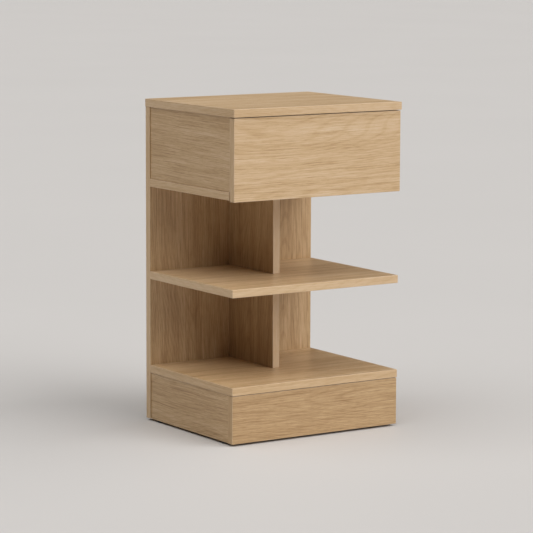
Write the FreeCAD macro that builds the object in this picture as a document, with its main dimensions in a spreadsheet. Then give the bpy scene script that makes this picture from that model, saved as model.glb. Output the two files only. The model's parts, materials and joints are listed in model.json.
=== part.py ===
"""Bedside stand in oak-veneered board with one push-to-open drawer and two open bays.

Frame: +Z up, millimetres, origin on the floor under the middle of the stand. The front faces -Y.
Every length comes from the sheet "sizes". Expressions are written with the sheet's aliases.
"""
import FreeCAD, Part
import os
import re
import Sketcher
from FreeCAD import Rotation, Vector

doc = FreeCAD.newDocument("Nightstand")

# ---------------------------------------------------------------- driving dimensions (mm)

SIZES = [
    # the stand as a whole
    ("top_width", 400),
    ("top_depth", 335),
    ("panel", 16),              # board thickness of the carcass and of the drawer front
    ("arris", 0.8),             # rounding of every board edge
    ("side_overhang", 1),       # top beyond the back panel and the shelves, each side
    ("plinth_height", 96.5),
    ("lower_bay_height", 178),
    ("upper_bay_height", 174),
    ("housing_height", 146),    # clear height of the drawer housing
    ("shelf_setback", 6),       # shelves behind the top's front edge
    ("side_inset", 2),          # housing and base sides inside the shelf edges
    ("base_setback", 7),        # base front behind the top's front edge
    ("base_front_inset", 0.5),  # base front inside the shelf edges, each side
    ("base_joint", 1),          # open joint between base front and base top
    ("divider_depth", 167),
    # drawer front and box
    ("drawer_setback", 2),      # drawer front behind the top's front edge
    ("drawer_inset", 0.5),      # drawer front inside the shelf edges, each side
    ("joint_above", 1.5),       # open joint between top and drawer front
    ("drawer_drop", 2.5),       # drawer front below the housing bottom
    ("press_gap", 2),           # room behind the drawer front for pressing it in
    ("drawer_wall", 12),
    ("drawer_sheet", 4),        # drawer bottom
    ("sheet_lift", 10),         # drawer bottom above the lower edge of the box
    ("groove_depth", 6),
    ("groove_play", 0.2),
    ("drawer_lift", 14),        # box above the housing bottom
    ("drawer_headroom", 20),    # box below the top
    # runners
    ("runner_width", 12.7),
    ("runner_height", 45),
    ("runner_setback", 2),      # runner behind the housing's front edges
    ("runner_steel", 1.2),
    ("outer_reach", 9.6),       # depth of the outer member's channel
    ("middle_web", 2.2),        # middle member's web, from the housing side
    ("middle_reach", 11),
    ("inner_reach", 8.2),
    ("outer_ball", 2),          # radius
    ("inner_ball", 1.5),        # radius
    ("ball_play", 0.05),
    ("retainer_length", 100),
    ("retainer_steel", 0.5),
    ("retainer_margin", 0.4),   # retainer strip inside the channel's web and lip
    ("runner_screw_end", 35),   # first screw from the runner's end
    ("latch_room", 47),         # room behind the drawer box
    # push latch
    ("latch_radius", 8),
    ("latch_bore", 5.1),        # radius
    ("latch_floor", 4),         # solid end behind the bore
    ("latch_flange", 44),
    ("latch_flange_height", 20),
    ("latch_flange_steel", 3),
    ("latch_screw_reach", 15),
    ("plunger_play", 0.08),
    ("plunger_length", 28),
    ("tip_length", 3),
    ("tip_gap", 1.5),           # tip to strike plate at rest, taken up by the press
    ("strike_radius", 9),
    ("strike_steel", 1.5),
    ("spring_wire", 0.4),       # radius
    ("spring_turns", 7),
    ("spring_play", 0.3),       # spring inside the bore
    ("spigot_length", 3),
    # cam fittings
    ("cam_radius", 7.4),
    ("cam_base", 1.3),          # bore below the bolt's head
    ("cam_reach", 24),          # cam centre from the joint
    ("cam_end", 40),            # cam centre from a board's end
    ("cam_recess_arm", 3.4),    # half-length of the driver recess
    ("cam_recess_half", 0.7),   # half-width
    ("cam_recess_depth", 1.4),
    ("bolt_sleeve", 3.9),       # radius
    ("bolt_neck", 2),           # radius
    ("bolt_head", 3.2),         # radius
    ("bolt_head_height", 3.5),
    ("bolt_slot_play", 0.4),    # bolt head in the cam's slot
    ("bolt_thread", 2.5),       # radius
    ("bolt_thread_length", 11),
    # dowels
    ("dowel_radius", 4),
    ("dowel_face_depth", 10),
    ("dowel_edge_depth", 20),
    ("pin_radius", 3),          # drawer dowels
    ("pin_face_depth", 8),
    ("pin_edge_depth", 16),
    ("pin_end", 28),            # pin from the upper or lower edge of the box
    # connecting screws and caps in the back panel
    ("cap_radius", 6),
    ("cap_height", 1),
    ("head_radius", 5),
    ("head_height", 4),
    ("shank_radius", 3.5),
    ("thread_radius", 3.1),
    ("connector_length", 50),
    ("connector_point", 4),
    ("hex_radius", 2.3),
    ("hex_depth", 2.5),
    ("shelf_screw_x", 120),
    ("divider_screw_end", 50),
    # small screws
    ("screw_radius", 1.75),
    ("screw_head_radius", 3.3),
    ("screw_head_height", 0.9),
    ("runner_screw_length", 11),
    ("front_screw_length", 24),
    ("front_screw_x", 110),
    ("front_screw_end", 14),    # from the bottom sheet or the box's upper edge
    ("screw_point", 3),
    ("screw_recess_arm", 1.6),
    ("screw_recess_half", 0.4),
    # floor glides
    ("glide_radius", 7),
    ("glide_height", 4.5),
    ("glide_end", 25),          # glide centre from the end of a base side
    ("nail_radius", 1),
    ("nail_head", 2.6),         # radius
    ("nail_head_height", 0.8),
    ("nail_recess", 0.5),       # nail head above the floor
    ("nail_length", 17),
    ("nail_point", 2),
    # small roundings of turned pieces
    ("bevel", 0.6),
    # running fits
    ("fit", 0.05),              # radial play of a fastener in its hole
    ("end_play", 0.2),          # left at each end of a blind hole
]
NAMES = {name for name, value in SIZES}

sheet = doc.addObject("Spreadsheet::Sheet", "sizes")
for row, (name, value) in enumerate(SIZES, start=1):
    sheet.set(f"A{row}", name)
    sheet.set(f"B{row}", str(value))
    sheet.setAlias(f"B{row}", name)
doc.recompute()


def bound(text):
    """The expression as another object reads it, with the sheet's name before each alias."""
    def named(word):
        return f"sizes.{word.group()}" if word.group() in NAMES else word.group()

    return re.sub(r"[a-z_]+", named, text)


def number(text):
    """The expression's present value."""
    return float(sheet.evalExpression(text))


def plus(*parts):
    """Sum of expressions."""
    return "(" + " + ".join(parts) + ")"


def minus(first, *rest):
    """The first expression less the others."""
    return "(" + " - ".join((first,) + rest) + ")"


def mid(low, high):
    """Half-way between two expressions."""
    return f"(({low} + {high}) / 2)"


# ---------------------------------------------------------------- levels and planes

FRONT = "(-top_depth / 2)"
REAR = "(top_depth / 2)"
BACK_FACE = minus(REAR, "panel")                 # front face of the back panel
SHELF_FRONT = plus(FRONT, "shelf_setback")
DIVIDER_FRONT = minus(BACK_FACE, "divider_depth")
DRAWER_FACE = plus(FRONT, "drawer_setback")
DRAWER_REAR = plus(DRAWER_FACE, "panel")         # rear of the drawer front, front of its box
HOUSING_FRONT = plus(DRAWER_REAR, "press_gap")
BASE_FACE = plus(FRONT, "base_setback")
BASE_SIDE_FRONT = plus(BASE_FACE, "panel")

FOOT = "glide_height"
BASE_TOP_LOW = plus(FOOT, "plinth_height")
BASE_TOP_HIGH = plus(BASE_TOP_LOW, "panel")
SHELF_LOW = plus(BASE_TOP_HIGH, "lower_bay_height")
SHELF_HIGH = plus(SHELF_LOW, "panel")
HOUSING_LOW = plus(SHELF_HIGH, "upper_bay_height")
HOUSING_FLOOR = plus(HOUSING_LOW, "panel")
TOP_LOW = plus(HOUSING_FLOOR, "housing_height")

HALF_TOP = "(top_width / 2)"
HALF_BODY = minus(HALF_TOP, "side_overhang")     # back panel and shelves
HALF_SIDE = minus(HALF_BODY, "side_inset")       # outer faces of housing and base sides
HALF_CLEAR = minus(HALF_SIDE, "panel")           # their inner faces
HALF_SIDE_MID = minus(HALF_SIDE, "panel / 2")
HALF_BOX = minus(HALF_CLEAR, "runner_width")     # outer faces of the drawer box
HALF_BOX_CLEAR = minus(HALF_BOX, "drawer_wall")

RUNNER_FRONT = plus(HOUSING_FRONT, "runner_setback")
RUNNER_REAR = minus(BACK_FACE, "latch_room")
RUNNER_LENGTH = minus(RUNNER_REAR, RUNNER_FRONT)
BOX_LOW = plus(HOUSING_FLOOR, "drawer_lift")
BOX_HIGH = minus(TOP_LOW, "drawer_headroom")
BOX_MIDDLE = mid(BOX_LOW, BOX_HIGH)
BOX_REAR = RUNNER_REAR
SHEET_LOW = plus(BOX_LOW, "sheet_lift")

SIDES = (("left", "-"), ("right", ""))           # name, sign of x


def at(sign, half):
    """The x of something as far out as half, on the side whose sign is given."""
    return f"({sign}{half})"


# ---------------------------------------------------------------- sketches and bodies

ORIGIN_PLANES = {"x": "YZ_Plane", "y": "XZ_Plane", "z": "XY_Plane"}
PLANE_NORMAL_SIGN = {"x": 1, "y": -1, "z": 1}    # each origin plane's own normal along its axis
SKETCH_AXES = {"x": (1, 2), "y": (0, 2), "z": (0, 1)}
FACES = {
    "left": ("x", 0),
    "right": ("x", 1),
    "front": ("y", 0),
    "back": ("y", 1),
    "bottom": ("z", 0),
    "top": ("z", 1),
}


nodes = []                                       # the finished sub-parts, in the order they are made


def node(item, label):
    """Names a finished sub-part and keeps it for output."""
    item.Label = label
    nodes.append(item)
    return item


def new_body(label):
    return doc.addObject("PartDesign::Body", label)


def new_sketch(body, axis, offset="0"):
    """A sketch across the axis, on the body's own origin plane moved along the axis by offset."""
    sketch = body.newObject("Sketcher::SketchObject", "sketch")
    plane = [item for item in body.Origin.OriginFeatures if item.Role == ORIGIN_PLANES[axis]][0]
    sketch.AttachmentSupport = [(plane, "")]
    sketch.MapMode = "FlatFace"
    if offset != "0":
        sign = "" if PLANE_NORMAL_SIGN[axis] > 0 else "-"
        sketch.setExpression("AttachmentOffset.Base.z", bound(f"{sign}({offset})"))
    return sketch


def pin_point(sketch, geometry, corner, place):
    """Holds a sketch point at a place given by two expressions."""
    for kind, axis_line, text in (("DistanceX", -2, place[0]), ("DistanceY", -1, place[1])):
        if text == "0":
            sketch.addConstraint(Sketcher.Constraint("PointOnObject", geometry, corner, axis_line))
        else:
            index = sketch.addConstraint(Sketcher.Constraint(kind, -1, 1, geometry, corner, number(text)))
            sketch.setExpression(f"Constraints[{index}]", bound(text))


def draw_outline(sketch, corners):
    """A closed outline of straight lines through corners given by expressions."""
    points = [Vector(number(u), number(v), 0) for u, v in corners]
    count = len(points)
    for index in range(count):
        sketch.addGeometry(Part.LineSegment(points[index], points[(index + 1) % count]))
    for index in range(count):
        sketch.addConstraint(Sketcher.Constraint("Coincident", index, 2, (index + 1) % count, 1))
    for index, corner in enumerate(corners):
        pin_point(sketch, index, 1, corner)


def draw_circle(sketch, centre, radius):
    circle = Part.Circle(Vector(number(centre[0]), number(centre[1]), 0), Vector(0, 0, 1), number(radius))
    index = sketch.addGeometry(circle)
    row = sketch.addConstraint(Sketcher.Constraint("Radius", index, number(radius)))
    sketch.setExpression(f"Constraints[{row}]", bound(radius))
    pin_point(sketch, index, 3, centre)


def rectangle(u_low, v_low, u_high, v_high):
    return [(u_low, v_low), (u_high, v_low), (u_high, v_high), (u_low, v_high)]


def pad(body, sketch, axis, length):
    """Material from the sketch towards the axis's high end."""
    feature = body.newObject("PartDesign::Pad", "pad")
    feature.Profile = sketch
    feature.setExpression("Length", bound(length))
    feature.Reversed = PLANE_NORMAL_SIGN[axis] < 0
    doc.recompute()
    return feature


def pocket(body, sketch, axis, depth, inwards):
    """A cut from the sketch, inwards = 1 towards the axis's high end or -1 towards its low end."""
    before = body.Shape.Volume
    feature = body.newObject("PartDesign::Pocket", "pocket")
    feature.Profile = sketch
    feature.setExpression("Length", bound(depth))
    feature.Reversed = PLANE_NORMAL_SIGN[axis] * inwards > 0
    doc.recompute()
    if not body.Shape.Volume < before:
        raise RuntimeError(f"{body.Label}: a pocket cuts nothing")
    return feature


def revolve(body, sketch):
    """A turned solid about the sketch's vertical axis."""
    feature = body.newObject("PartDesign::Revolution", "revolution")
    feature.Profile = sketch
    feature.ReferenceAxis = (sketch, ["V_Axis"])
    feature.Angle = 360
    doc.recompute()
    return feature


def place(item, x, y, z, rotation=None):
    if rotation is not None:
        item.Placement.Rotation = rotation
    for letter, text in zip("xyz", (x, y, z)):
        if text != "0":
            item.setExpression(f"Placement.Base.{letter}", bound(text))


class Block:
    """A rectangular piece between two corners. Holes are given at their places in the whole stand."""

    def __init__(self, label, low, high, rounded=True):
        self.low = low
        self.size = [minus(high[i], low[i]) for i in range(3)]
        self.body = new_body(label)
        sketch = new_sketch(self.body, "z")
        draw_outline(sketch, rectangle("0", "0", self.size[0], self.size[1]))
        feature = pad(self.body, sketch, "z", self.size[2])
        if rounded:
            edges = [f"Edge{index + 1}" for index in range(len(feature.Shape.Edges))]
            fillet = self.body.newObject("PartDesign::Fillet", "arris")
            fillet.Base = (feature, edges)
            fillet.setExpression("Radius", bound("arris"))
            doc.recompute()
        place(self.body, *low)
        node(self.body, label)

    def local(self, axis_index, text):
        return minus(text, self.low[axis_index])

    def sketch_on(self, face):
        axis, end = FACES[face]
        offset = self.size["xyz".index(axis)] if end else "0"
        return new_sketch(self.body, axis, offset), axis, (-1 if end else 1)

    def drill(self, face, points, radius, depth):
        """Round holes of one radius and depth, square to the face."""
        sketch, axis, inwards = self.sketch_on(face)
        u, v = SKETCH_AXES[axis]
        for point in points:
            draw_circle(sketch, (self.local(u, point[u]), self.local(v, point[v])), radius)
        pocket(self.body, sketch, axis, depth, inwards)

    def groove(self, face, low, high, depth):
        """A rectangular groove between two places, past the board's end where they say so."""
        sketch, axis, inwards = self.sketch_on(face)
        u, v = SKETCH_AXES[axis]
        draw_outline(sketch, rectangle(self.local(u, low[u]), self.local(v, low[v]),
                                       self.local(u, high[u]), self.local(v, high[v])))
        pocket(self.body, sketch, axis, depth, inwards)


# ---------------------------------------------------------------- groups of like pieces

def facing(out, towards=None):
    """Rotation that turns +Z to out and, where towards is given, +X to towards."""
    z_axis = Vector(*out)
    if towards is None:
        return Rotation(Vector(0, 0, 1), z_axis)
    x_axis = Vector(*towards)
    return Rotation(x_axis, z_axis.cross(x_axis), z_axis, "ZXY")


def group(label, master, places):
    """One node of separate solids: a link to the master at each (point, rotation)."""
    links = []
    for point, rotation in places:
        link = doc.addObject("App::Link", "link")
        link.LinkedObject = master
        place(link, *point, rotation)
        links.append(link)
    compound = doc.addObject("Part::Compound", label)
    compound.Links = links
    return node(compound, label)


def turned(label, profile):
    """A turned master: corners are (radius, height), with height along the piece's axis."""
    body = new_body(label)
    sketch = new_sketch(body, "y")
    draw_outline(sketch, profile)
    revolve(body, sketch)
    return body


LEFT, RIGHT = (-1, 0, 0), (1, 0, 0)
FORWARD, BACKWARD = (0, -1, 0), (0, 1, 0)
DOWN, UP = (0, 0, -1), (0, 0, 1)
INWARD = {"left": RIGHT, "right": LEFT}
INNER_FACE = {"left": "right", "right": "left"}

# ---------------------------------------------------------------- carcass boards

top_panel = Block("top_panel",
                  (at("-", HALF_TOP), FRONT, TOP_LOW),
                  (HALF_TOP, REAR, plus(TOP_LOW, "panel")))
back_panel = Block("back_panel",
                   (at("-", HALF_BODY), BACK_FACE, FOOT),
                   (HALF_BODY, REAR, TOP_LOW))


def shelf(label, front, low):
    return Block(label, (at("-", HALF_BODY), front, low), (HALF_BODY, BACK_FACE, plus(low, "panel")))


housing_bottom = shelf("housing_bottom", HOUSING_FRONT, HOUSING_LOW)
middle_shelf = shelf("middle_shelf", SHELF_FRONT, SHELF_LOW)
base_top = shelf("base_top", SHELF_FRONT, BASE_TOP_LOW)


def divider(label, low, high):
    return Block(label, ("-panel / 2", DIVIDER_FRONT, low), ("panel / 2", BACK_FACE, high))


upper_divider = divider("upper_divider", SHELF_HIGH, HOUSING_LOW)
lower_divider = divider("lower_divider", BASE_TOP_HIGH, SHELF_LOW)


def side_board(prefix, side, sign, front, low, high):
    """An upright board under the edge of the one above it, left or right."""
    inner, outer = (HALF_CLEAR, HALF_SIDE)
    x_low, x_high = (at(sign, outer), at(sign, inner)) if side == "left" else (inner, outer)
    return Block(f"{prefix}_{side}", (x_low, front, low), (x_high, BACK_FACE, high))


housing_side = {}
base_side = {}
for side, sign in SIDES:
    housing_side[side] = side_board("housing_side", side, sign, HOUSING_FRONT, HOUSING_FLOOR, TOP_LOW)
    base_side[side] = side_board("base_side", side, sign, BASE_SIDE_FRONT, FOOT, BASE_TOP_LOW)

HALF_BASE_FRONT = minus(HALF_BODY, "base_front_inset")
base_front = Block("base_front",
                   (at("-", HALF_BASE_FRONT), BASE_FACE, FOOT),
                   (HALF_BASE_FRONT, BASE_SIDE_FRONT, minus(BASE_TOP_LOW, "base_joint")))

# ---------------------------------------------------------------- drawer boards

HALF_FRONT = minus(HALF_BODY, "drawer_inset")
drawer_front = Block("drawer_front",
                     (at("-", HALF_FRONT), DRAWER_FACE, minus(HOUSING_LOW, "drawer_drop")),
                     (HALF_FRONT, DRAWER_REAR, minus(TOP_LOW, "joint_above")))
BOX_FRONT_REAR = plus(DRAWER_REAR, "drawer_wall")
BOX_BACK_FRONT = minus(BOX_REAR, "drawer_wall")
drawer_box_front = Block("drawer_box_front",
                         (at("-", HALF_BOX_CLEAR), DRAWER_REAR, BOX_LOW),
                         (HALF_BOX_CLEAR, BOX_FRONT_REAR, BOX_HIGH))
drawer_back = Block("drawer_back",
                    (at("-", HALF_BOX_CLEAR), BOX_BACK_FRONT, BOX_LOW),
                    (HALF_BOX_CLEAR, BOX_REAR, BOX_HIGH))
drawer_side = {
    "left": Block("drawer_side_left",
                  (at("-", HALF_BOX), DRAWER_REAR, BOX_LOW), (at("-", HALF_BOX_CLEAR), BOX_REAR, BOX_HIGH)),
    "right": Block("drawer_side_right",
                   (HALF_BOX_CLEAR, DRAWER_REAR, BOX_LOW), (HALF_BOX, BOX_REAR, BOX_HIGH)),
}

# The bottom sheet sits in a groove all round, with play at its edges and above it.
SHEET_REACH = minus("groove_depth", "groove_play")
HALF_SHEET = plus(HALF_BOX_CLEAR, SHEET_REACH)
drawer_bottom = Block("drawer_bottom",
                      (at("-", HALF_SHEET), minus(BOX_FRONT_REAR, SHEET_REACH), SHEET_LOW),
                      (HALF_SHEET, plus(BOX_BACK_FRONT, SHEET_REACH), plus(SHEET_LOW, "drawer_sheet")),
                      rounded=False)
GROOVE_FRONT = minus(BOX_FRONT_REAR, "groove_depth")
GROOVE_REAR = plus(BOX_BACK_FRONT, "groove_depth")
GROOVE_HIGH = plus(SHEET_LOW, "drawer_sheet", "groove_play")
HALF_GROOVE = plus(HALF_BOX_CLEAR, "groove_depth")
for side, sign in SIDES:
    drawer_side[side].groove(INNER_FACE[side], ("0", GROOVE_FRONT, SHEET_LOW),
                             ("0", GROOVE_REAR, GROOVE_HIGH), "groove_depth")
drawer_box_front.groove("back", (at("-", HALF_GROOVE), "0", SHEET_LOW), (HALF_GROOVE, "0", GROOVE_HIGH),
                        "groove_depth")
drawer_back.groove("front", (at("-", HALF_GROOVE), "0", SHEET_LOW), (HALF_GROOVE, "0", GROOVE_HIGH),
                   "groove_depth")

# ---------------------------------------------------------------- cam fittings

# The cam lies under the board's face, its axis square to it, and turns on the bolt's head.
# Local frame: +Z out of the face, +X towards the joint.
CAM_TOP = "(-end_play)"
CAM_BORE_DEPTH = "(panel / 2 + bolt_head + cam_base)"
cam_master = new_body("cam_master")
cam_sketch = new_sketch(cam_master, "z", f"-{CAM_BORE_DEPTH} + end_play")
draw_circle(cam_sketch, ("0", "0"), "cam_radius")
pad(cam_master, cam_sketch, "z", f"{CAM_BORE_DEPTH} - 2 * end_play")
BOLT_SLOT = "(bolt_head + bolt_slot_play)"
slot_sketch = new_sketch(cam_master, "x", f"-{BOLT_SLOT}")
draw_circle(slot_sketch, ("0", "-panel / 2"), BOLT_SLOT)
pocket(cam_master, slot_sketch, "x", f"cam_radius + 2 * {BOLT_SLOT}", 1)


def cross_outline(arm, half):
    """Twelve corners of an upright cross."""
    return [(arm, f"-{half}"), (arm, half), (half, half), (half, arm), (f"-{half}", arm), (f"-{half}", half),
            (f"-{arm}", half), (f"-{arm}", f"-{half}"), (f"-{half}", f"-{half}"), (f"-{half}", f"-{arm}"),
            (half, f"-{arm}"), (half, f"-{half}")]


recess_sketch = new_sketch(cam_master, "z", CAM_TOP)
draw_outline(recess_sketch, cross_outline("cam_recess_arm", "cam_recess_half"))
pocket(cam_master, recess_sketch, "z", "cam_recess_depth", -1)

# The bolt screws into the other board. Local frame: the joint plane is z = 0, +Z towards the cam.
SLEEVE_END = "(cam_reach - cam_radius - 5 * end_play)"
HEAD_UNDER = "(cam_reach - bolt_head_height / 2)"
HEAD_END = "(cam_reach + bolt_head_height / 2)"
bolt_master = turned("bolt_master", [
    ("0", "-bolt_thread_length"),
    ("bolt_thread - bevel", "-bolt_thread_length"),
    ("bolt_thread", "bevel - bolt_thread_length"),
    ("bolt_thread", "0"),
    ("bolt_sleeve", "0"),
    ("bolt_sleeve", SLEEVE_END),
    ("bolt_neck", SLEEVE_END),
    ("bolt_neck", HEAD_UNDER),
    ("bolt_head", HEAD_UNDER),
    ("bolt_head", f"{HEAD_END} - 2 * bevel"),
    ("bolt_head - 2 * bevel", HEAD_END),
    ("0", HEAD_END),
])

cam_places = []
bolt_places = []
CAM_BORE = "(cam_radius + end_play)"
SLEEVE_BORE = "(bolt_sleeve + fit)"
THREAD_BORE = "(bolt_thread + fit)"
THREAD_BORE_DEPTH = "(bolt_thread_length + end_play)"
AXES = {LEFT: (0, "-"), RIGHT: (0, "+"), FORWARD: (1, "-"), BACKWARD: (1, "+"), DOWN: (2, "-"), UP: (2, "+")}


def shifted(point, direction, distance):
    """The point moved along a row axis."""
    axis_index, sign = AXES[direction]
    moved = list(point)
    moved[axis_index] = f"({point[axis_index]} {sign} {distance})"
    return tuple(moved)


def cam_joint(board, cam_face, out, edge_face, towards, other, other_face, joints):
    """Cams in one board's face pull its edge against another board's face at the joint points.

    Each joint point is on the joint plane, on the first board's middle plane.
    """
    centres = [shifted(shifted(point, tuple(-c for c in towards), "cam_reach"), out, "panel / 2")
               for point in joints]
    board.drill(cam_face, centres, CAM_BORE, CAM_BORE_DEPTH)
    board.drill(edge_face, joints, SLEEVE_BORE, "cam_reach")
    other.drill(other_face, joints, THREAD_BORE, THREAD_BORE_DEPTH)
    for centre, joint in zip(centres, joints):
        cam_places.append((centre, facing(out, towards)))
        bolt_places.append((joint, facing(tuple(-c for c in towards))))


HOUSING_CAM_Y = (plus(HOUSING_FRONT, "cam_end"), minus(BACK_FACE, "cam_end"))
BASE_CAM_Y = (plus(BASE_SIDE_FRONT, "1.5 * cam_end"), minus(BACK_FACE, "cam_end"))
BASE_FRONT_CAM_Z = plus(FOOT, "cam_end")
BACK_CAM_X = f"({HALF_BODY} / 2)"
for side, sign in SIDES:
    middle = at(sign, HALF_SIDE_MID)
    board, base, face, out = housing_side[side], base_side[side], INNER_FACE[side], INWARD[side]
    cam_joint(board, face, out, "top", UP, top_panel, "bottom", [(middle, y, TOP_LOW) for y in HOUSING_CAM_Y])
    cam_joint(board, face, out, "bottom", DOWN, housing_bottom, "top",
              [(middle, y, HOUSING_FLOOR) for y in HOUSING_CAM_Y])
    cam_joint(base, face, out, "top", UP, base_top, "bottom", [(middle, y, BASE_TOP_LOW) for y in BASE_CAM_Y])
    cam_joint(base, face, out, "front", FORWARD, base_front, "back",
              [(middle, BASE_SIDE_FRONT, BASE_FRONT_CAM_Z)])
cam_joint(back_panel, "front", FORWARD, "top", UP, top_panel, "bottom",
          [(at(sign, BACK_CAM_X), minus(REAR, "panel / 2"), TOP_LOW) for side, sign in SIDES])
group("cam_discs", cam_master, cam_places)
group("cam_bolts", bolt_master, bolt_places)

# ---------------------------------------------------------------- dowels


def dowel_master(label, radius, face_depth, edge_depth):
    """A round dowel across a joint. Local frame: the joint is z = 0, +Z into the edge-drilled board."""
    low = f"(-{face_depth} + end_play)"
    high = f"({edge_depth} - end_play)"
    return turned(label, [
        ("0", low),
        (f"{radius} - bevel", low),
        (radius, f"{low} + bevel"),
        (radius, f"{high} - bevel"),
        (f"{radius} - bevel", high),
        ("0", high),
    ])


dowel = dowel_master("dowel_master", "dowel_radius", "dowel_face_depth", "dowel_edge_depth")
pin = dowel_master("pin_master", "pin_radius", "pin_face_depth", "pin_edge_depth")
DOWEL_BORE = "(dowel_radius + fit)"
PIN_BORE = "(pin_radius + fit)"
dowel_places = []
pin_places = []


def dowel_joint(board, edge_face, inwards, other, other_face, joints):
    board.drill(edge_face, joints, DOWEL_BORE, "dowel_edge_depth")
    other.drill(other_face, joints, DOWEL_BORE, "dowel_face_depth")
    dowel_places.extend((joint, facing(inwards)) for joint in joints)


HOUSING_MIDDLE_Y = mid(HOUSING_FRONT, BACK_FACE)
BASE_MIDDLE_Y = mid(BASE_SIDE_FRONT, BACK_FACE)
for side, sign in SIDES:
    middle = at(sign, HALF_SIDE_MID)
    dowel_joint(housing_side[side], "top", DOWN, top_panel, "bottom", [(middle, HOUSING_MIDDLE_Y, TOP_LOW)])
    dowel_joint(housing_side[side], "bottom", UP, housing_bottom, "top",
                [(middle, HOUSING_MIDDLE_Y, HOUSING_FLOOR)])
    dowel_joint(base_side[side], "top", DOWN, base_top, "bottom", [(middle, BASE_MIDDLE_Y, BASE_TOP_LOW)])
    dowel_joint(base_side[side], "front", BACKWARD, base_front, "back",
                [(middle, BASE_SIDE_FRONT, plus(BASE_FRONT_CAM_Z, "cam_reach"))])
dowel_joint(back_panel, "top", DOWN, top_panel, "bottom", [("0", minus(REAR, "panel / 2"), TOP_LOW)])

# The dowels above and below the middle shelf are staggered, because each goes most of the way through it.
DIVIDER_FRONT_DOWEL = plus(DIVIDER_FRONT, "dowel_edge_depth")
DIVIDER_REAR_DOWEL = minus(BACK_FACE, "connector_length")
STAGGER = "(4 * dowel_radius)"
upper_dowel_y = (DIVIDER_FRONT_DOWEL, DIVIDER_REAR_DOWEL)
lower_dowel_y = tuple(plus(y, STAGGER) for y in upper_dowel_y)
dowel_joint(upper_divider, "top", DOWN, housing_bottom, "bottom",
            [("0", y, HOUSING_LOW) for y in upper_dowel_y])
dowel_joint(upper_divider, "bottom", UP, middle_shelf, "top", [("0", y, SHELF_HIGH) for y in upper_dowel_y])
dowel_joint(lower_divider, "top", DOWN, middle_shelf, "bottom", [("0", y, SHELF_LOW) for y in lower_dowel_y])
dowel_joint(lower_divider, "bottom", UP, base_top, "top", [("0", y, BASE_TOP_HIGH) for y in lower_dowel_y])
group("wood_dowels", dowel, dowel_places)

PIN_Z = (plus(BOX_LOW, "pin_end"), minus(BOX_HIGH, "pin_end"))
for side, sign in SIDES:
    inner_x = at(sign, HALF_BOX_CLEAR)
    for board, y in ((drawer_box_front, plus(DRAWER_REAR, "drawer_wall / 2")),
                     (drawer_back, minus(BOX_REAR, "drawer_wall / 2"))):
        joints = [(inner_x, y, z) for z in PIN_Z]
        board.drill(side, joints, PIN_BORE, "pin_edge_depth")
        drawer_side[side].drill(INNER_FACE[side], joints, PIN_BORE, "pin_face_depth")
        pin_places.extend((joint, facing(INWARD[side])) for joint in joints)
group("drawer_dowels", pin, pin_places)

# ---------------------------------------------------------------- connecting screws from the rear

# Local frame: z = 0 is the back panel's rear face, +Z out of it.
HEAD_TOP = "(-cap_height - end_play)"
HEAD_LOW = f"({HEAD_TOP} - head_height)"
TIP = f"({HEAD_TOP} - connector_length)"
connector_master = turned("connector_master", [
    ("0", TIP),
    ("thread_radius / 2", TIP),
    ("thread_radius", f"{TIP} + connector_point"),
    ("thread_radius", "-panel"),
    ("shank_radius", "-panel"),
    ("shank_radius", HEAD_LOW),
    ("head_radius", HEAD_LOW),
    ("head_radius", HEAD_TOP),
    ("0", HEAD_TOP),
])
hex_sketch = new_sketch(connector_master, "z", HEAD_TOP)
draw_outline(hex_sketch, [(f"hex_radius * cos({angle} deg)" if angle % 180 != 90 else "0",
                           f"hex_radius * sin({angle} deg)" if angle % 180 else "0")
                          for angle in range(0, 360, 60)])
pocket(connector_master, hex_sketch, "z", "hex_depth", -1)
cap_master = turned("cap_master", [
    ("0", "-cap_height"), ("cap_radius", "-cap_height"), ("cap_radius", "-bevel / 2"),
    ("cap_radius - bevel / 2", "0"), ("0", "0")])

connections = []


def rear_screws(board, points):
    """Screws through the back panel into the rear edge of a board, at (x, z) places."""
    places = [(x, REAR, z) for x, z in points]
    board.drill("back", places, "(thread_radius + fit)", f"(-{TIP} + end_play - panel)")
    connections.extend(places)


SHELF_SCREW_X = (at("-", "shelf_screw_x"), "shelf_screw_x")
for board, low in ((housing_bottom, HOUSING_LOW), (middle_shelf, SHELF_LOW), (base_top, BASE_TOP_LOW)):
    rear_screws(board, [(x, plus(low, "panel / 2")) for x in SHELF_SCREW_X])
for board, low, high in ((upper_divider, SHELF_HIGH, HOUSING_LOW), (lower_divider, BASE_TOP_HIGH, SHELF_LOW)):
    rear_screws(board, [("0", plus(low, "divider_screw_end")), ("0", minus(high, "divider_screw_end"))])
for side, sign in SIDES:
    middle = at(sign, HALF_SIDE_MID)
    rear_screws(housing_side[side], [(middle, plus(HOUSING_FLOOR, "cam_end")),
                                     (middle, minus(TOP_LOW, "cam_end"))])
    rear_screws(base_side[side], [(middle, mid(FOOT, BASE_TOP_LOW))])
back_panel.drill("back", connections, "(cap_radius + fit)", f"-{HEAD_LOW}")
back_panel.drill("back", connections, "(shank_radius + fit)", "panel")
group("connecting_screws", connector_master, [(point, facing(BACKWARD)) for point in connections])
group("screw_caps", cap_master, [(point, facing(BACKWARD)) for point in connections])

# ---------------------------------------------------------------- runners

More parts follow.
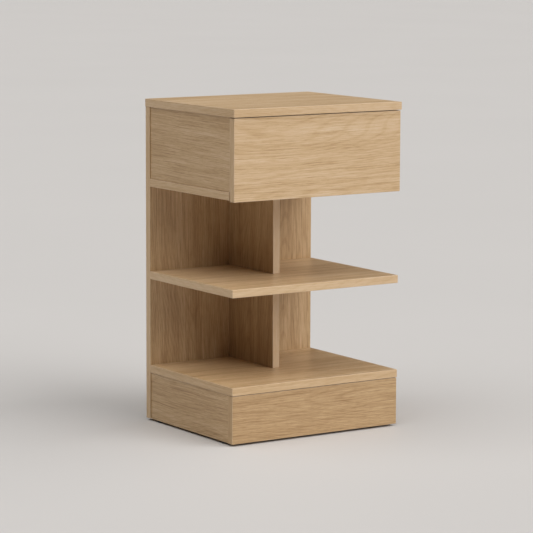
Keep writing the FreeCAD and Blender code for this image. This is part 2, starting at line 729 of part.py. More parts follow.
# Sections are drawn from the housing side (u = 0) to the drawer side, with v up from the runner's lower edge.
# The balls run between the members' flanges, above and below.
OUTER_INSIDE = minus("runner_height / 2", "runner_steel")                       # half-heights from the centre
OUTER_BALL_LINE = minus(OUTER_INSIDE, "outer_ball", "ball_play")
MIDDLE_OUTSIDE = minus(OUTER_BALL_LINE, "outer_ball", "ball_play")
MIDDLE_INSIDE = minus(MIDDLE_OUTSIDE, "runner_steel")
INNER_BALL_LINE = minus(MIDDLE_INSIDE, "inner_ball", "ball_play")
INNER_OUTSIDE = minus(INNER_BALL_LINE, "inner_ball", "ball_play")
OUTER_BALL_DEPTH = "(outer_reach - 1.5 * outer_ball)"
INNER_BALL_DEPTH = "(middle_reach - 2 * inner_ball)"


def channel(web, reach, half_height, opens):
    """Corners of a channel section: its web at depth web, its flanges reaching on by reach.

    It opens away from the housing side where opens is 1, and towards it where opens is -1.
    """
    sign = "+" if opens > 0 else "-"
    inner_web = f"({web} {sign} runner_steel)"
    tip = f"({web} {sign} {reach})"
    inside = minus(half_height, "runner_steel")
    corners = [
        (web, f"-{half_height}"),
        (tip, f"-{half_height}"),
        (tip, f"-{inside}"),
        (inner_web, f"-{inside}"),
        (inner_web, inside),
        (tip, inside),
        (tip, half_height),
        (web, half_height),
    ]
    return corners if opens > 0 else corners[::-1]


def along(label, corners):
    """A bar with the given section, from y = 0 backwards, in the runner's own frame."""
    body = new_body(label)
    sketch = new_sketch(body, "y")
    draw_outline(sketch, corners)
    pad(body, sketch, "y", RUNNER_LENGTH)
    return node(body, label)


def runner_place(item, side, sign):
    """Puts a piece drawn in the left runner's frame in place. The right runner is the left, turned over."""
    turn = Rotation() if side == "left" else Rotation(Vector(0, 1, 0), 180)
    place(item, at(sign, HALF_CLEAR), RUNNER_FRONT, BOX_MIDDLE, turn)


def drill_web(body, web, inwards, stations):
    """Screw holes through a member's web."""
    sketch = new_sketch(body, "x", web)
    for station in stations:
        draw_circle(sketch, (station, "0"), "(screw_radius + fit)")
    pocket(body, sketch, "x", "runner_steel", inwards)


OUTER_STATIONS = ("runner_screw_end", f"({RUNNER_LENGTH} / 2)", minus(RUNNER_LENGTH, "runner_screw_end"))
INNER_STATIONS = ("(2 * runner_screw_end)", minus(RUNNER_LENGTH, "2 * runner_screw_end"))
for side, sign in SIDES:
    outer = along(f"runner_outer_{side}", channel("0", "outer_reach", "(runner_height / 2)", 1))
    drill_web(outer, "0", 1, OUTER_STATIONS)
    middle = along(f"runner_middle_{side}",
                   channel("middle_web", "(middle_reach - middle_web)", MIDDLE_OUTSIDE, 1))
    inner = along(f"runner_inner_{side}", channel("runner_width", "inner_reach", INNER_OUTSIDE, -1))
    drill_web(inner, "runner_width", -1, INNER_STATIONS)
    for member in (outer, middle, inner):
        runner_place(member, side, sign)

# Ball retainers: an upper and a lower strip for each pair of members, with a hole round each ball.
BALLS = 6
RETAINER_START = f"({RUNNER_LENGTH} / 2 - retainer_length / 2)"
BALL_PITCH = f"(retainer_length / {BALLS})"


def retainer(label, line, depth_low, depth_high, ball, ball_depth, side, sign):
    """Both strips of one retainer."""
    strips = []
    for tilt in ("-", ""):
        body = new_body(f"{label}_strip")
        low_edge = f"({tilt}{line} - retainer_steel / 2)"
        high_edge = f"({tilt}{line} + retainer_steel / 2)"
        sketch = new_sketch(body, "y", RETAINER_START)
        draw_outline(sketch, rectangle(depth_low, low_edge, depth_high, high_edge))
        pad(body, sketch, "y", "retainer_length")
        holes = new_sketch(body, "z", low_edge)
        for index in range(BALLS):
            draw_circle(holes, (ball_depth, f"({RETAINER_START} + {BALL_PITCH} * {index + 0.5})"),
                        f"({ball} + 2 * ball_play)")
        pocket(body, holes, "z", "retainer_steel", 1)
        strips.append(body)
    compound = doc.addObject("Part::Compound", label)
    compound.Links = strips
    runner_place(node(compound, label), side, sign)


def ball_row(label, master, line, ball_depth, side, sign):
    """Balls above and below the centre, in the holes of their retainer."""
    stations = [f"({RETAINER_START} + {BALL_PITCH} * {index + 0.5})" for index in range(BALLS)]
    places = [((ball_depth, station, f"({tilt}{line})"), Rotation())
              for tilt in ("-", "") for station in stations]
    runner_place(group(label, master, places), side, sign)


ball_master = {}
for kind in ("outer", "inner"):
    ball_master[kind] = doc.addObject("Part::Sphere", f"{kind}_ball_master")
    ball_master[kind].setExpression("Radius", bound(f"{kind}_ball"))
for side, sign in SIDES:
    retainer(f"outer_retainer_{side}", OUTER_BALL_LINE, "(middle_web + retainer_margin)",
             "(outer_reach - retainer_margin)", "outer_ball", OUTER_BALL_DEPTH, side, sign)
    ball_row(f"outer_balls_{side}", ball_master["outer"], OUTER_BALL_LINE, OUTER_BALL_DEPTH, side, sign)
    retainer(f"inner_retainer_{side}", INNER_BALL_LINE, "(runner_width - inner_reach)",
             "(middle_reach - retainer_margin)", "inner_ball", INNER_BALL_DEPTH, side, sign)
    ball_row(f"inner_balls_{side}", ball_master["inner"], INNER_BALL_LINE, INNER_BALL_DEPTH, side, sign)

# ---------------------------------------------------------------- small screws


def screw_master(label, length):
    """A flat-headed screw. Local frame: z = 0 under the head, +Z out."""
    body = turned(label, [
        ("0", f"-{length}"),
        ("screw_radius", f"screw_point - {length}"),
        ("screw_radius", "0"),
        ("screw_head_radius", "0"),
        ("screw_head_radius", "screw_head_height / 2"),
        ("screw_head_radius - bevel", "screw_head_height"),
        ("0", "screw_head_height"),
    ])
    sketch = new_sketch(body, "z", "screw_head_height")
    draw_outline(sketch, cross_outline("screw_recess_arm", "screw_recess_half"))
    pocket(body, sketch, "z", "screw_head_height / 2", -1)
    return body


SCREW_BORE = "(screw_radius + fit)"
short_screw = screw_master("short_screw_master", "runner_screw_length")
front_screw = screw_master("front_screw_master", "front_screw_length")

RUNNER_SCREW_DEPTH = "(runner_screw_length - runner_steel + end_play)"
housing_screw_places = []
drawer_screw_places = []
for side, sign in SIDES:
    inwards = INWARD[side]
    outwards = tuple(-c for c in inwards)
    points = [(at(sign, HALF_CLEAR), plus(RUNNER_FRONT, station), BOX_MIDDLE) for station in OUTER_STATIONS]
    housing_side[side].drill(INNER_FACE[side], points, SCREW_BORE, RUNNER_SCREW_DEPTH)
    housing_screw_places.extend((shifted(point, inwards, "runner_steel"), facing(inwards))
                                for point in points)
    points = [(at(sign, HALF_BOX), plus(RUNNER_FRONT, station), BOX_MIDDLE) for station in INNER_STATIONS]
    drawer_side[side].drill(side, points, SCREW_BORE, RUNNER_SCREW_DEPTH)
    drawer_screw_places.extend((shifted(point, outwards, "runner_steel"), facing(outwards))
                               for point in points)
group("runner_screws_housing", short_screw, housing_screw_places)
group("runner_screws_drawer", short_screw, drawer_screw_places)

FRONT_SCREW_Z = (plus(SHEET_LOW, "drawer_sheet", "front_screw_end"), minus(BOX_HIGH, "front_screw_end"))
front_points = [(at(sign, "front_screw_x"), BOX_FRONT_REAR, z) for side, sign in SIDES for z in FRONT_SCREW_Z]
drawer_box_front.drill("back", front_points, SCREW_BORE, "drawer_wall")
drawer_front.drill("back", front_points, SCREW_BORE, "(front_screw_length - drawer_wall + end_play)")
group("drawer_front_screws", front_screw, [(point, facing(BACKWARD)) for point in front_points])

# ---------------------------------------------------------------- push latch

# Local frame of the housing and its moving pieces: y = 0 on the back panel, forwards is -Y.
STRIKE_REAR = plus(BOX_REAR, "strike_steel")
TIP_FRONT = plus(STRIKE_REAR, "tip_gap")
PLUNGER_FRONT = plus(TIP_FRONT, "tip_length")
LATCH_LENGTH = minus(BACK_FACE, PLUNGER_FRONT)

latch_housing = node(new_body("latch_housing"), "latch_housing")
flange_sketch = new_sketch(latch_housing, "y", "-latch_flange_steel")
draw_outline(flange_sketch, rectangle("-latch_flange / 2", "-latch_flange_height / 2",
                                      "latch_flange / 2", "latch_flange_height / 2"))
pad(latch_housing, flange_sketch, "y", "latch_flange_steel")
barrel_sketch = new_sketch(latch_housing, "y", f"-{LATCH_LENGTH}")
draw_circle(barrel_sketch, ("0", "0"), "latch_radius")
pad(latch_housing, barrel_sketch, "y", LATCH_LENGTH)
bore_sketch = new_sketch(latch_housing, "y", f"-{LATCH_LENGTH}")
draw_circle(bore_sketch, ("0", "0"), "latch_bore")
pocket(latch_housing, bore_sketch, "y", minus(LATCH_LENGTH, "latch_floor"), 1)
latch_hole_sketch = new_sketch(latch_housing, "y", "-latch_flange_steel")
for side, sign in SIDES:
    draw_circle(latch_hole_sketch, (at(sign, "latch_screw_reach"), "0"), SCREW_BORE)
pocket(latch_housing, latch_hole_sketch, "y", "latch_flange_steel", 1)
place(latch_housing, "0", BACK_FACE, BOX_MIDDLE)

latch_points = [(at(sign, "latch_screw_reach"), BACK_FACE, BOX_MIDDLE) for side, sign in SIDES]
back_panel.drill("front", latch_points, SCREW_BORE, "(runner_screw_length - latch_flange_steel + end_play)")
group("latch_screws", short_screw,
      [(shifted(point, FORWARD, "latch_flange_steel"), facing(FORWARD)) for point in latch_points])

PLUNGER_RADIUS = "(latch_bore - plunger_play)"
SPIGOT_RADIUS = "(latch_bore / 2)"


def turned_forwards(label, profile, y):
    """A turned piece on the latch's axis, its heights running forwards from y."""
    body = node(turned(label, profile), label)
    place(body, "0", y, BOX_MIDDLE, facing(FORWARD))


turned_forwards("latch_plunger", [
    ("0", "-spigot_length"), (SPIGOT_RADIUS, "-spigot_length"), (SPIGOT_RADIUS, "0"), (PLUNGER_RADIUS, "0"),
    (PLUNGER_RADIUS, "plunger_length"), ("0", "plunger_length")], plus(PLUNGER_FRONT, "plunger_length"))
turned_forwards("latch_tip", [
    ("0", "0"), (PLUNGER_RADIUS, "0"), (PLUNGER_RADIUS, "tip_length - bevel"),
    (f"{PLUNGER_RADIUS} - bevel", "tip_length"), ("0", "tip_length")], PLUNGER_FRONT)
turned_forwards("strike_plate", [
    ("0", "-strike_steel"), ("strike_radius - bevel", "-strike_steel"),
    ("strike_radius", "bevel - strike_steel"), ("strike_radius", "0"), ("0", "0")], BOX_REAR)

# The spring fills the bore from its floor to the plunger's shoulder.
SPRING_REAR = minus(BACK_FACE, "latch_floor")
SPRING_LENGTH = minus(SPRING_REAR, plus(PLUNGER_FRONT, "plunger_length"))
coil_radius = number("latch_bore - 2 * spring_wire - spring_play")
wire = number("spring_wire")
coil_height = number(minus(SPRING_LENGTH, "2 * spring_wire", "2 * end_play"))
helix = Part.makeHelix(coil_height / number("spring_turns"), coil_height, coil_radius)
section = Part.Wire([Part.makeCircle(wire, Vector(coil_radius, 0, 0), Vector(0, 1, 0))])
latch_spring = node(doc.addObject("Part::Feature", "latch_spring"), "latch_spring")
latch_spring.Shape = Part.Wire(helix.Edges).makePipeShell([section], True, True)
place(latch_spring, "0", minus(SPRING_REAR, "spring_wire", "end_play"), BOX_MIDDLE, facing(FORWARD))

# ---------------------------------------------------------------- floor glides

# Local frame: z = 0 is the underside of the wood, the glide hangs below it, +Z into the board.
NAIL_SEAT = "(nail_recess - glide_height)"
NAIL_HEAD_TOP = f"({NAIL_SEAT} + nail_head_height)"
glide_master = turned("glide_master", [
    ("nail_head + fit", "-glide_height"), ("glide_radius - bevel", "-glide_height"),
    ("glide_radius", "bevel - glide_height"), ("glide_radius", "0"), ("nail_radius + fit", "0"),
    ("nail_radius + fit", NAIL_HEAD_TOP), ("nail_head + fit", NAIL_HEAD_TOP)])
nail_master = turned("nail_master", [
    ("0", NAIL_SEAT), ("nail_head", NAIL_SEAT), ("nail_head", NAIL_HEAD_TOP), ("nail_radius", NAIL_HEAD_TOP),
    ("nail_radius", "nail_length - nail_point"), ("0", "nail_length")])
glide_places = []
for side, sign in SIDES:
    points = [(at(sign, HALF_SIDE_MID), y, FOOT)
              for y in (plus(BASE_SIDE_FRONT, "glide_end"), minus(BACK_FACE, "glide_end"))]
    base_side[side].drill("bottom", points, "(nail_radius + fit)", "nail_length + end_play")
    glide_places.extend((point, Rotation()) for point in points)
group("floor_glides", glide_master, glide_places)
group("glide_nails", nail_master, glide_places)

# ---------------------------------------------------------------- checks and output

doc.recompute()
for item in doc.Objects:
    if any(word in item.State for word in ("Invalid", "Error")):
        raise RuntimeError(f"{item.Label} failed: {item.State}")

os.makedirs("parts", exist_ok=True)
for item in nodes:
    if item.Shape.isNull() or not item.Shape.isValid():
        raise RuntimeError(f"{item.Label} has no valid shape")
for item in nodes:
    item.Shape.exportStep(f"parts/{item.Label}.step")
print(len(nodes), "nodes written")
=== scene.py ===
"""Looks, light and camera for the bedside stand: oak veneer boards, a drawer on steel runners and its fittings.

Metres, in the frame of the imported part: +Z up, -Y to the front, the floor at zero.
"""

import json
import math

import bpy
from mathutils import Matrix, Vector

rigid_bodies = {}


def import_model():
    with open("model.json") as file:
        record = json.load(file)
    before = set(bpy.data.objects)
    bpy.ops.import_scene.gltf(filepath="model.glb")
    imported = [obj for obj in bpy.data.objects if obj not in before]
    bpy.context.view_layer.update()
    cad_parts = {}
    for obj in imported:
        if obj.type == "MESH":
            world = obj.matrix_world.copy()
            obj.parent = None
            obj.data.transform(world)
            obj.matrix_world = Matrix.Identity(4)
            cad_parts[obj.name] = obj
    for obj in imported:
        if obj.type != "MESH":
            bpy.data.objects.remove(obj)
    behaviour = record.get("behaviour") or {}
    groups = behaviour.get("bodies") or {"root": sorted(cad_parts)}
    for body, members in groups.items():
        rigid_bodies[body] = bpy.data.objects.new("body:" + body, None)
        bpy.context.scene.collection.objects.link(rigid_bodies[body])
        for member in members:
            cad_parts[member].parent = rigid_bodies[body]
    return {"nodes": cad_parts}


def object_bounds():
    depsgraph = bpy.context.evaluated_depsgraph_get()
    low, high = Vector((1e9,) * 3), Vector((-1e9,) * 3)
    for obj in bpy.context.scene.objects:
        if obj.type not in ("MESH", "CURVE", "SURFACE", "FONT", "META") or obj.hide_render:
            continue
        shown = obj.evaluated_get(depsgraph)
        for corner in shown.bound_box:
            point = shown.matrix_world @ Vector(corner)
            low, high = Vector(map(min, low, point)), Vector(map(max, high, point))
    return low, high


for leftover in list(bpy.data.objects):
    bpy.data.objects.remove(leftover)

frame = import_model()
part_low, part_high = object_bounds()
nodes = frame["nodes"]

X, Y, Z = 0, 1, 2


# ---------------------------------------------------------------- finishes

class Field:
    """A number that changes over a finish. Sums, differences and products add their nodes."""

    def __init__(self, finish, socket):
        self.finish = finish
        self.socket = socket

    def maths(self, operation, *values):
        inputs = dict(enumerate(values))
        return self.finish.add("ShaderNodeMath", {"operation": operation}, inputs)[0]

    def __add__(self, other):
        return self.maths("ADD", self, other)

    def __radd__(self, other):
        return self.maths("ADD", other, self)

    def __sub__(self, other):
        return self.maths("SUBTRACT", self, other)

    def __rsub__(self, other):
        return self.maths("SUBTRACT", other, self)

    def __mul__(self, other):
        return self.maths("MULTIPLY", self, other)

    def __rmul__(self, other):
        return self.maths("MULTIPLY", other, self)

    def __gt__(self, other):
        return self.maths("GREATER_THAN", self, other)

    def __abs__(self):
        return self.maths("ABSOLUTE", self)


def or_larger(first, second):
    return first.maths("MAXIMUM", first, second)


def opaque(colour):
    return (*colour, 1.0)


class Finish:
    """One material: the nodes behind its shader, and the shader itself."""

    def __init__(self, name, **shader):
        self.material = bpy.data.materials.new(name)
        self.material.use_nodes = True
        self.tree = self.material.node_tree
        self.tree.nodes.clear()
        output = self.tree.nodes.new("ShaderNodeOutputMaterial")
        self.shader = self.tree.nodes.new("ShaderNodeBsdfPrincipled")
        self.tree.links.new(self.shader.outputs[0], output.inputs[0])
        self.finish_with(**shader)

    def add(self, kind, settings, inputs):
        """A node of that kind, with its settings made before its inputs. Gives back its outputs."""
        made = self.tree.nodes.new(kind)
        for key, value in settings.items():
            if key == "stops":
                self.set_stops(made.color_ramp, value)
            else:
                setattr(made, key, value)
        self.fill(made, inputs)
        return [Field(self, socket) for socket in made.outputs]

    def fill(self, made, inputs):
        for key, value in inputs.items():
            if isinstance(value, Field):
                self.tree.links.new(value.socket, made.inputs[key])
            else:
                made.inputs[key].default_value = value

    def set_stops(self, ramp, stops):
        while len(ramp.elements) < len(stops):
            ramp.elements.new(0.5)
        for element, (position, colour) in zip(ramp.elements, stops):
            element.position = position
            element.color = opaque(colour)

    def finish_with(self, **inputs):
        self.fill(self.shader, {key.replace("_", " "): value for key, value in inputs.items()})

    def spot(self):
        """Where a point lies, in metres."""
        return self.add("ShaderNodeTexCoord", {}, {})[3]

    def facing(self):
        """Which way the surface faces at a point."""
        return self.add("ShaderNodeTexCoord", {}, {})[1]

    def split(self, vector):
        """The X, Y and Z of a vector."""
        return self.add("ShaderNodeSeparateXYZ", {}, {0: vector})

    def noise(self, x, y, z, detail=2.0, rough=0.5):
        """Soft noise from 0 to 1 with its features one unit wide."""
        at = self.add("ShaderNodeCombineXYZ", {}, {0: x, 1: y, 2: z})[0]
        grain = {"Vector": at, "Scale": 1.0, "Detail": detail, "Roughness": rough}
        return self.add("ShaderNodeTexNoise", {}, grain)[0]

    def ease(self, value, low, high):
        """A smooth step from 0 to 1 as the value goes from low to high."""
        span = {0: value, 1: low, 2: high}
        return self.add("ShaderNodeMapRange", {"interpolation_type": "SMOOTHSTEP"}, span)[0]

    def blend(self, first, second, share):
        """The second colour over the first, by its share."""
        return self.add("ShaderNodeMix", {"data_type": "RGBA"}, {0: share, 6: first, 7: second})[2]

    def colours(self, value, stops):
        return self.add("ShaderNodeValToRGB", {"stops": stops}, {0: value})[0]

    def relief(self, height, depth, strength=1.0):
        """Fine relief, depth in metres for a height of one."""
        settings = {"Strength": strength, "Distance": depth, "Height": height}
        self.finish_with(Normal=self.add("ShaderNodeBump", {}, settings)[0])


# The tones of the wood, from its pores to its palest fibres.
OAK_TONES = [
    (0.00, (0.320, 0.188, 0.086)),
    (0.30, (0.462, 0.299, 0.150)),
    (0.50, (0.555, 0.377, 0.205)),
    (0.72, (0.635, 0.456, 0.278)),
    (1.00, (0.700, 0.540, 0.375)),
]
BOX_TONES = [
    (0.00, (0.440, 0.300, 0.175)),
    (0.35, (0.600, 0.445, 0.285)),
    (0.60, (0.680, 0.530, 0.362)),
    (1.00, (0.760, 0.630, 0.465)),
]
BEECH_TONES = [
    (0.00, (0.420, 0.250, 0.130)),
    (0.50, (0.620, 0.420, 0.250)),
    (1.00, (0.740, 0.560, 0.370)),
]
# Pale colour painted along the rounded arrises of the oak boards as a highlight.
PAINTED_ARRIS_HIGHLIGHT = (0.80, 0.66, 0.50)

# Layers of the grain: features per metre along it and across it, shift between layers, detail and roughness.
GRAIN_LAYERS = {
    "band": (2.2, 60.0, 21.0, 3.0, 0.60),
    "streak": (12.0, 560.0, 3.0, 3.0, 0.75),
    "thread": (8.0, 520.0, 41.0, 1.0, 0.60),
    "pale": (9.0, 540.0, 43.0, 1.0, 0.60),
    "dash": (55.0, 760.0, 31.0, 1.0, 0.50),
    "fibre": (30.0, 1500.0, 5.0, 2.0, 0.60),
    "vessel": (95.0, 2600.0, 9.0, 1.0, 0.50),
}
GROWTH_RINGS = 44.0     # rings between the darkest and the palest of the slow noise that they follow
SWAY = 0.020            # how far the grain wanders, in metres
RIPPLE = 0.0012
MID_TONE = 0.58         # where plain wood falls on its tones
FLAT = 0.7              # how squarely a face has to look along an axis to count as facing it


def board(name, thickness, grain, leaf_number, tones=OAK_TONES, figure=1.0, pores=1.0, painted_shading=0.0,
          bands=0.7, edge=0.08, arris_highlight=0.35):
    """Veneer on a board: grain along one axis on its faces and along each edge strip, under satin lacquer, with
    painted shading over the whole board and a painted highlight on its arrises.
    """
    wood = Finish(name, IOR=1.5, Coat_Roughness=0.22, Specular_IOR_Level=0.32, Coat_Weight=0.16)
    where, facing = wood.split(wood.spot()), wood.split(wood.facing())
    third = X + Y + Z - thickness - grain
    on_face = abs(facing[thickness]) > FLAT
    on_end = abs(facing[grain]) > FLAT
    on_back = facing[thickness] > FLAT
    leaf = on_back * 3.7 + on_face * 1.9 + leaf_number * 5.31
    along = where[grain] + on_end * (where[third] - where[grain])
    across = where[thickness] + on_face * (where[third] - where[thickness])

    sway = wood.noise(along * 2.6, across * 4.0, leaf) - 0.5
    ripple = wood.noise(along * 18.0, across * 30.0, leaf + 7.0, detail=1.0) - 0.5
    line = across + sway * SWAY + ripple * RIPPLE
    rings = wood.noise(along * 1.2, line * 6.5, leaf + 11.0, detail=0.0) * (GROWTH_RINGS * figure)
    swing = rings.maths("SINE", rings * math.tau)
    late = wood.ease(swing, 0.5, 1.0)
    early = wood.ease(swing, 0.0, -1.0)
    band, streak, thread, pale, dash, fibre, vessel = (
        wood.noise(along * length, line * width, leaf + shift, detail=detail, rough=rough)
        for length, width, shift, detail, rough in GRAIN_LAYERS.values()
    )
    pore = wood.ease(vessel, 0.60, 0.72) * (0.35 + early * 0.65)
    cloud = wood.noise(along * 2.2, across * 5.5, leaf + 17.0, detail=1.0)

    flow = (streak - 0.5) * 0.85 + (fibre - 0.5) * 0.45 + (band - 0.5) * bands
    flow = flow - wood.ease(dash, 0.52, 0.62) * 0.12 - wood.ease(thread, 0.55, 0.66) * 0.20
    flow = flow + wood.ease(pale, 0.58, 0.70) * 0.12 - late * 0.09 + early * 0.03
    # Painted shading: the whole board is lightened or darkened by how light falls on it. Edges off the faces
    # are lifted by edge, partly paler banding and partly painted light.
    tone = (MID_TONE + painted_shading + edge) + flow * (0.6 + on_face * 0.4) - on_face * edge
    tone = tone + (cloud - 0.5) * 0.22 - pore * (0.18 * pores)
    colour = wood.colours(tone, tones)
    # Painted highlight: where the surface turns round an arris and faces no axis squarely, the colour is
    # lightened towards a pale tint, flecked by the streaks.
    widest = or_larger(or_larger(abs(facing[X]), abs(facing[Y])), abs(facing[Z]))
    wear_and_painted_highlight = wood.ease(widest, 0.995, 0.90) * (0.55 + streak * 0.9)
    colour = wood.blend(colour, opaque(PAINTED_ARRIS_HIGHLIGHT), wear_and_painted_highlight * arris_highlight)

    gloss = 0.40 + (streak - 0.5) * 0.16 + pore * 0.18 + (cloud - 0.5) * 0.08
    wood.finish_with(Base_Color=colour, Roughness=gloss)
    wood.relief(fibre * 0.35 + streak * 0.5 - pore * 0.8 - late * 0.12, 0.00012)
    return wood.material


def metal(name, colour, rough, seed, lines=None, spangle=0.0, dull=0.5):
    """Plated or cast metal: drawing lines along one axis, or a fine cast grain, with a few duller spots."""
    steel = Finish(name, Metallic=1.0, Specular_IOR_Level=0.5)
    spot = steel.spot()
    where = steel.split(spot)
    if lines is None:
        stretch = [900.0, 900.0, 900.0]
    else:
        stretch = [1500.0, 1500.0, 1500.0]
        stretch[lines] = 40.0
    fine = steel.noise(*(w * s for w, s in zip(where, stretch)))
    spots = steel.noise(*(w * 160.0 + seed for w in where), detail=3.0, rough=0.6)
    patch = steel.add("ShaderNodeTexVoronoi", {}, {"Scale": 260.0, "Vector": spot})[1]
    flake = steel.add("ShaderNodeSeparateColor", {}, {0: patch})[0]
    # On metal these are only duller, worn spots of the plating; no highlight is painted here.
    wear_and_painted_highlight = steel.ease(spots, 0.50, 0.72) * 0.55 + (fine - 0.5) * 0.3 + (flake - 0.5) * spangle
    dark = tuple(channel * dull for channel in colour)
    steel.finish_with(
        Base_Color=steel.blend(opaque(colour), opaque(dark), or_larger(wear_and_painted_highlight, 0.0)),
        Roughness=rough + (fine - 0.5) * 0.14 + (spots - 0.5) * 0.18,
    )
    steel.relief(fine, 0.00002, strength=0.6)
    return steel.material


def plastic(name, colour, light, rough, seed, grain=700.0):
    """Moulded plastic with a fine sparked grain and slight handling marks."""
    shell = Finish(name, IOR=1.47)
    where = shell.split(shell.spot())
    sparks = shell.noise(*(w * grain for w in where), rough=0.6)
    marks = shell.noise(*(w * 45.0 + seed for w in where), detail=4.0, rough=0.65)
    rub = shell.ease(marks, 0.45, 0.75)
    tone = shell.blend(opaque(colour), opaque(light), sparks * 0.35 + rub * 0.4)
    shell.finish_with(Base_Color=tone, Roughness=rough + (marks - 0.5) * 0.2 - rub * 0.05)
    shell.relief(sparks, 0.00003, strength=0.7)
    return shell.material


def turned_beech(name, axis, seed):
    """Raw beech rod: short dark flecks along the rod."""
    beech = Finish(name, IOR=1.45)
    where = beech.split(beech.spot())
    stretch = [900.0, 900.0, 900.0]
    stretch[axis] = 110.0
    fleck = beech.noise(*(w * s + seed for w, s in zip(where, stretch)), detail=1.0)
    soft = beech.noise(*(w * 120.0 for w in where))
    mark = beech.ease(fleck, 0.58, 0.72)
    tone = 0.62 + (soft - 0.5) * 0.5 - mark * 0.4
    beech.finish_with(Base_Color=beech.colours(tone, BEECH_TONES), Roughness=0.62 + mark * 0.15)
    beech.relief(soft - mark * 0.5, 0.00005)
    return beech.material


# Which way each board lies: its thickness, the run of its grain, its leaf of veneer, its painted shading
# (darker or lighter by how light falls on it), how strong its broad bands are and its edge lift (paler banding
# and painted light).
OAK_BOARDS = {
    "top_panel": (Z, X, 1, 0.10, 1.2, 0.00),
    "drawer_front": (Y, X, 2, 0.07, 0.6, 0.00),
    "housing_side_left": (X, Y, 3, -0.05, 0.7, 0.06),
    "housing_side_right": (X, Y, 4, -0.04, 0.7, 0.06),
    "housing_bottom": (Z, X, 5, -0.06, 0.9, 0.16),
    "back_panel": (Y, Z, 6, -0.15, 0.7, 0.24),
    "upper_divider": (X, Z, 7, -0.20, 0.6, 0.52),
    "middle_shelf": (Z, X, 8, 0.02, 1.0, 0.11),
    "lower_divider": (X, Z, 9, -0.35, 0.6, 0.60),
    "base_top": (Z, X, 10, -0.04, 1.0, 0.05),
    "base_side_left": (X, Y, 11, -0.10, 0.5, 0.06),
    "base_side_right": (X, Y, 12, -0.06, 0.5, 0.06),
    "base_front": (Y, X, 13, -0.21, 0.4, 0.08),
}
DRAWER_BOARDS = {
    "drawer_side_left": (X, Y, 21),
    "drawer_side_right": (X, Y, 22),
    "drawer_box_front": (Y, X, 23),
    "drawer_back": (Y, X, 24),
    "drawer_bottom": (Z, Y, 25),
}


def coat(node, material):
    for slot in nodes[node].material_slots:
        slot.material = material


for node, (thickness, grain, leaf_number, painted_shading, bands, edge) in OAK_BOARDS.items():
    coat(node, board("oak_" + node, thickness, grain, leaf_number, painted_shading=painted_shading, bands=bands, edge=edge))

for node, (thickness, grain, leaf_number) in DRAWER_BOARDS.items():
    coat(node, board("pale_oak_" + node, thickness, grain, leaf_number, BOX_TONES,
                     figure=0.6, pores=0.3, arris_highlight=0.05))

plated = metal("bright_zinc_plate", (0.74, 0.74, 0.72), 0.24, 1.0)
runner = metal("runner_zinc_plate", (0.62, 0.64, 0.66), 0.32, 2.0, lines=Y, spangle=0.25, dull=0.7)
cast = metal("cast_zinc", (0.50, 0.50, 0.49), 0.46, 3.0, dull=0.7)
polished = metal("ball_steel", (0.80, 0.80, 0.80), 0.10, 4.0, dull=0.8)
black = plastic("black_plastic", (0.020, 0.020, 0.021), (0.055, 0.055, 0.056), 0.46, 5.0)
natural = plastic("natural_plastic", (0.74, 0.73, 0.68), (0.84, 0.83, 0.79), 0.40, 6.0)
caps = plastic("cap_plastic", (0.50, 0.355, 0.215), (0.60, 0.44, 0.28), 0.42, 7.0)
rubber = plastic("rubber_face", (0.016, 0.016, 0.017), (0.045, 0.045, 0.045), 0.68, 8.0, grain=1200.0)
dowel_wood = turned_beech("beech_dowels", Z, 9.0)
drawer_dowel_wood = turned_beech("beech_drawer_dowels", Y, 10.0)

SIDES = ("left", "right")
FITTINGS = {
    plated: ["cam_bolts", "connecting_screws", "drawer_front_screws", "glide_nails", "latch_screws",
             "latch_spring", "runner_screws_drawer", "runner_screws_housing", "strike_plate"],
    runner: [f"runner_{member}_{side}" for member in ("inner", "middle", "outer") for side in SIDES],
    polished: [f"{row}_balls_{side}" for row in ("inner", "outer") for side in SIDES],
    natural: [f"{row}_retainer_{side}" for row in ("inner", "outer") for side in SIDES],
    cast: ["cam_discs"],
    black: ["floor_glides", "latch_housing", "latch_plunger"],
    rubber: ["latch_tip"],
    caps: ["screw_caps"],
    dowel_wood: ["wood_dowels"],
    drawer_dowel_wood: ["drawer_dowels"],
}

for material, coated in FITTINGS.items():
    for node in coated:
        coat(node, material)


# ---------------------------------------------------------------- room

FLOOR_RINGS = [0.8, 1.6, 3.2, 8.0, 20.0, 60.0]
FLOOR_CORNERS = 96
FLOOR_TONES = (0.566, 0.552, 0.542), (0.596, 0.581, 0.570)


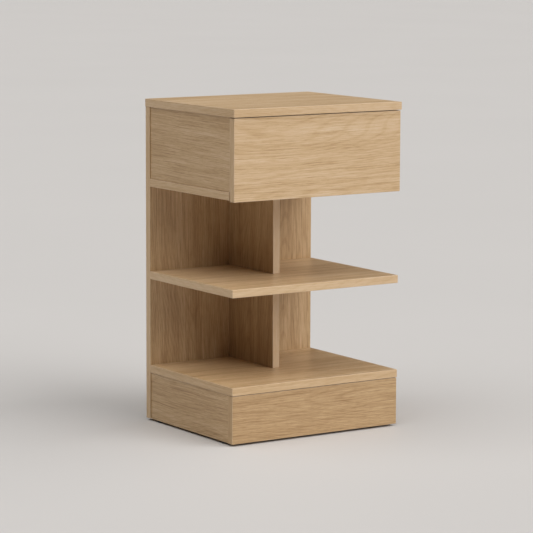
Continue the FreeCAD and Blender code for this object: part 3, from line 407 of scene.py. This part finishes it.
def studio_floor():
    """A plain pale floor, wide enough to run past the horizon."""
    points = [(0.0, 0.0, 0.0)]
    for ring in FLOOR_RINGS:
        for step in range(FLOOR_CORNERS):
            turn = math.tau * step / FLOOR_CORNERS
            points.append((ring * math.cos(turn), ring * math.sin(turn), 0.0))
    after = [(step + 1) % FLOOR_CORNERS for step in range(FLOOR_CORNERS)]
    faces = [(0, 1 + step, 1 + after[step]) for step in range(FLOOR_CORNERS)]
    for ring in range(len(FLOOR_RINGS) - 1):
        inner = 1 + ring * FLOOR_CORNERS
        outer = inner + FLOOR_CORNERS
        for step in range(FLOOR_CORNERS):
            faces.append((inner + step, outer + step, outer + after[step], inner + after[step]))
    mesh = bpy.data.meshes.new("studio_floor")
    mesh.from_pydata(points, [], faces)
    floor = bpy.data.objects.new("studio_floor", mesh)
    bpy.context.scene.collection.objects.link(floor)
    paint = Finish("pale_floor", IOR=1.45, Specular_IOR_Level=0.25)
    where = paint.split(paint.spot())
    soft = paint.noise(where[X] * 0.9, where[Y] * 0.9, 0.0, detail=3.0)
    fine = paint.noise(where[X] * 220.0, where[Y] * 220.0, 4.0)
    darker, paler = map(opaque, FLOOR_TONES)
    tone = paint.blend(darker, paler, soft * 0.8 + fine * 0.2)
    paint.finish_with(Base_Color=tone, Roughness=0.62 + (fine - 0.5) * 0.08)
    mesh.materials.append(paint.material)


def soft_light(name, toward, spread, strength, colour):
    """A broad soft light shining along one direction, spread over that many degrees."""
    lamp = bpy.data.lights.new(name, "SUN")
    lamp.angle = math.radians(spread)
    lamp.energy = strength
    lamp.color = colour
    held = bpy.data.objects.new(name, lamp)
    held.rotation_euler = Vector(toward).to_track_quat("-Z", "Y").to_euler()
    bpy.context.scene.collection.objects.link(held)


studio_floor()
soft_light("key_light", (-0.38, 0.70, -0.605), 54.0, 2.22, (1.0, 0.99, 0.98))
soft_light("top_light", (0.36, 0.02, -0.93), 64.0, 1.85, (1.0, 0.985, 0.965))
soft_light("right_light", (-0.74, 0.12, -0.66), 46.0, 0.60, (1.0, 0.99, 0.975))

sky = bpy.data.worlds.new("studio_air")
sky.use_nodes = True
air = sky.node_tree.nodes["Background"]
air.inputs["Color"].default_value = (1.0, 0.96, 0.91, 1.0)
air.inputs["Strength"].default_value = 0.06
bpy.context.scene.world = sky
bpy.context.scene.view_settings.view_transform = "Standard"


# ---------------------------------------------------------------- camera

AZIMUTH = -33.374
ELEVATION = 7.923
ROLL = 0.198
DISTANCE = 5.283
AIM_FROM_CENTRE = Vector((-0.0103, 0.0054, -0.0073))
LENS = 175.31
FILM_WIDTH = 36.0
FARTHEST = 200.0


def turned(degrees, axis):
    return Matrix.Rotation(math.radians(degrees), 4, axis)


camera = bpy.data.cameras.new("camera")
camera.lens = LENS
camera.sensor_width = FILM_WIDTH
camera.clip_end = FARTHEST
stand = bpy.data.objects.new("camera", camera)
look = turned(AZIMUTH, "Z") @ turned(90.0 - ELEVATION, "X") @ turned(ROLL, "Z")
aim = (part_low + part_high) / 2 + AIM_FROM_CENTRE
stand.matrix_world = Matrix.Translation(aim + look.col[2].to_3d() * DISTANCE) @ look
bpy.context.scene.collection.objects.link(stand)
bpy.context.scene.camera = stand
